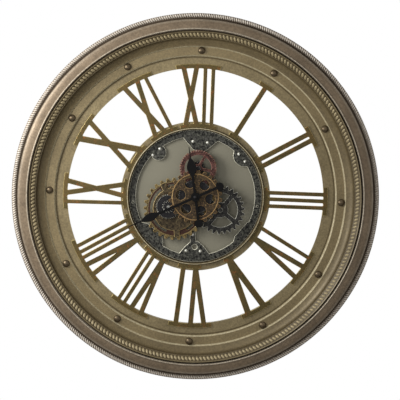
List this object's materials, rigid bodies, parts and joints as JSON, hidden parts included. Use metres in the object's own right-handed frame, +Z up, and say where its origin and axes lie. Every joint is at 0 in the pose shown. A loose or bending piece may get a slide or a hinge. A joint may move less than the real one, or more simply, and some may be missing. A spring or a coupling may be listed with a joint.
{
  "type": "gear wall clock",
  "caption": "Round wall clock with a beaded frame, open cut-out Roman numerals, spade hands and a hub of turning toothed wheels.",
  "frame": {"origin": "top of the hanger's keyhole slot, in the plane of the wall, where the hook bears", "axes": "+Z up the wall towards XII's side, +X to the right as seen from the front, +Y into the wall, so the dial faces -Y"},
  "size_m": [0.6, 0.058, 0.6],
  "materials": {
    "champagne_paint": "satin champagne gold, aged",
    "taupe_silver_paint": "satin taupe silver, rubbed on the high lines",
    "bead_highlight": "rubbed silver gold",
    "black_board": "matt black",
    "zinc_steel": "zinc plated",
    "black_rubber": "matt",
    "old_brass": "brass paint with brown and rust patina",
    "grey_green_paint": "matt grey green",
    "speckled_slate": "dark grey with pale speckle",
    "copper": "red copper, antiqued",
    "bronze": "antique bronze",
    "gunmetal": "dark gunmetal",
    "antique_gold": "antique gold with bright edges",
    "steel": "plain steel",
    "black_plastic": "matt black",
    "battery_wrap": "plain grey wrap",
    "black_enamel": "black enamel"
  },
  "bodies": {
    "clock_body": {"back_board": "black_board", "bush_nut": "zinc_steel", "centre_bush": "steel", "cove_ring": "champagne_paint", "gear_plate": "speckled_slate", "hanger_plate": "zinc_steel", "hanger_screw_lower": "zinc_steel", "hanger_screw_upper": "zinc_steel", "hub_floor": "grey_green_paint", "hub_ring": "champagne_paint", "inner_band_ring": "champagne_paint", "left_carrier": "speckled_slate", "left_keeper": "bronze", "motor_case": "black_plastic", "motor_cell": "battery_wrap", "movement_case": "black_plastic", "movement_cell": "battery_wrap", "numeral_01": "old_brass", "numeral_02": "old_brass", "numeral_03": "old_brass", "numeral_04": "old_brass", "numeral_05": "old_brass", "numeral_06": "old_brass", "numeral_07": "old_brass", "numeral_08": "old_brass", "numeral_09": "old_brass", "numeral_10": "old_brass", "numeral_11": "old_brass", "numeral_12": "old_brass", "outer_bead_ring": "taupe_silver_paint", "outer_rim": "taupe_silver_paint", "plate_stud": "zinc_steel", "right_post": "steel", "rope_bead_ring": "bead_highlight", "small_post": "steel", "top_post": "steel", "wall_pad_left": "black_rubber", "wall_pad_right": "black_rubber"},
    "minute_body": {"minute_hand": "black_enamel", "minute_shaft": "steel", "cap_nut": "zinc_steel", "setting_knob": "black_plastic"},
    "hour_body": {"hour_hand": "black_enamel", "hour_tube": "steel"},
    "centre_train": {"centre_sleeve": "bronze", "centre_drive_wheel": "bronze", "centre_fine_wheel": "steel", "centre_wheel": "antique_gold"},
    "top_train": {"top_pinion": "steel", "top_coarse_wheel": "bronze", "top_wheel": "copper"},
    "right_train": {"right_pinion": "steel", "right_collar": "gunmetal", "right_wheel": "gunmetal"},
    "left_train": {"left_ring_wheel": "bronze"},
    "small_train": {"small_wheel": "steel", "small_pinion": "zinc_steel"},
    "motor_train": {"motor_shaft": "steel", "motor_pinion": "steel"}
  },
  "joints": [
    {"name": "minute_turn", "type": "hinge", "parent": "clock_body", "child": "minute_body", "pos_m": [0, -0.03, -0.2718], "axis": [0, 1, 0], "continuous": true},
    {"name": "hour_turn", "type": "hinge", "parent": "clock_body", "child": "hour_body", "pos_m": [0, -0.03, -0.2718], "axis": [0, 1, 0], "continuous": true},
    {"name": "centre_spin", "type": "hinge", "parent": "clock_body", "child": "centre_train", "pos_m": [0, -0.03, -0.2718], "axis": [0, 1, 0], "continuous": true},
    {"name": "top_spin", "type": "hinge", "parent": "clock_body", "child": "top_train", "pos_m": [0.00243, -0.03, -0.22536], "axis": [0, 1, 0], "continuous": true},
    {"name": "right_spin", "type": "hinge", "parent": "clock_body", "child": "right_train", "pos_m": [0.0419, -0.03, -0.29196], "axis": [0, 1, 0], "continuous": true},
    {"name": "left_spin", "type": "hinge", "parent": "clock_body", "child": "left_train", "pos_m": [-0.03272, -0.03, -0.29376], "axis": [0, 1, 0], "continuous": true},
    {"name": "small_spin", "type": "hinge", "parent": "clock_body", "child": "small_train", "pos_m": [-0.04347, -0.03, -0.2899], "axis": [0, 1, 0], "continuous": true},
    {"name": "motor_spin", "type": "hinge", "parent": "clock_body", "child": "motor_train", "pos_m": [-0.02147, -0.03, -0.31305], "axis": [0, 1, 0], "continuous": true}
  ],
  "couplings": [
    {"joint": "hour_turn", "follows": "minute_turn", "ratio": 0.083333},
    {"joint": "top_spin", "follows": "centre_spin", "ratio": -3.4286},
    {"joint": "right_spin", "follows": "centre_spin", "ratio": -3.4286},
    {"joint": "motor_spin", "follows": "centre_spin", "ratio": -3.4286},
    {"joint": "left_spin", "follows": "centre_spin", "ratio": 1.8916},
    {"joint": "small_spin", "follows": "centre_spin", "ratio": -1.4}
  ]
}
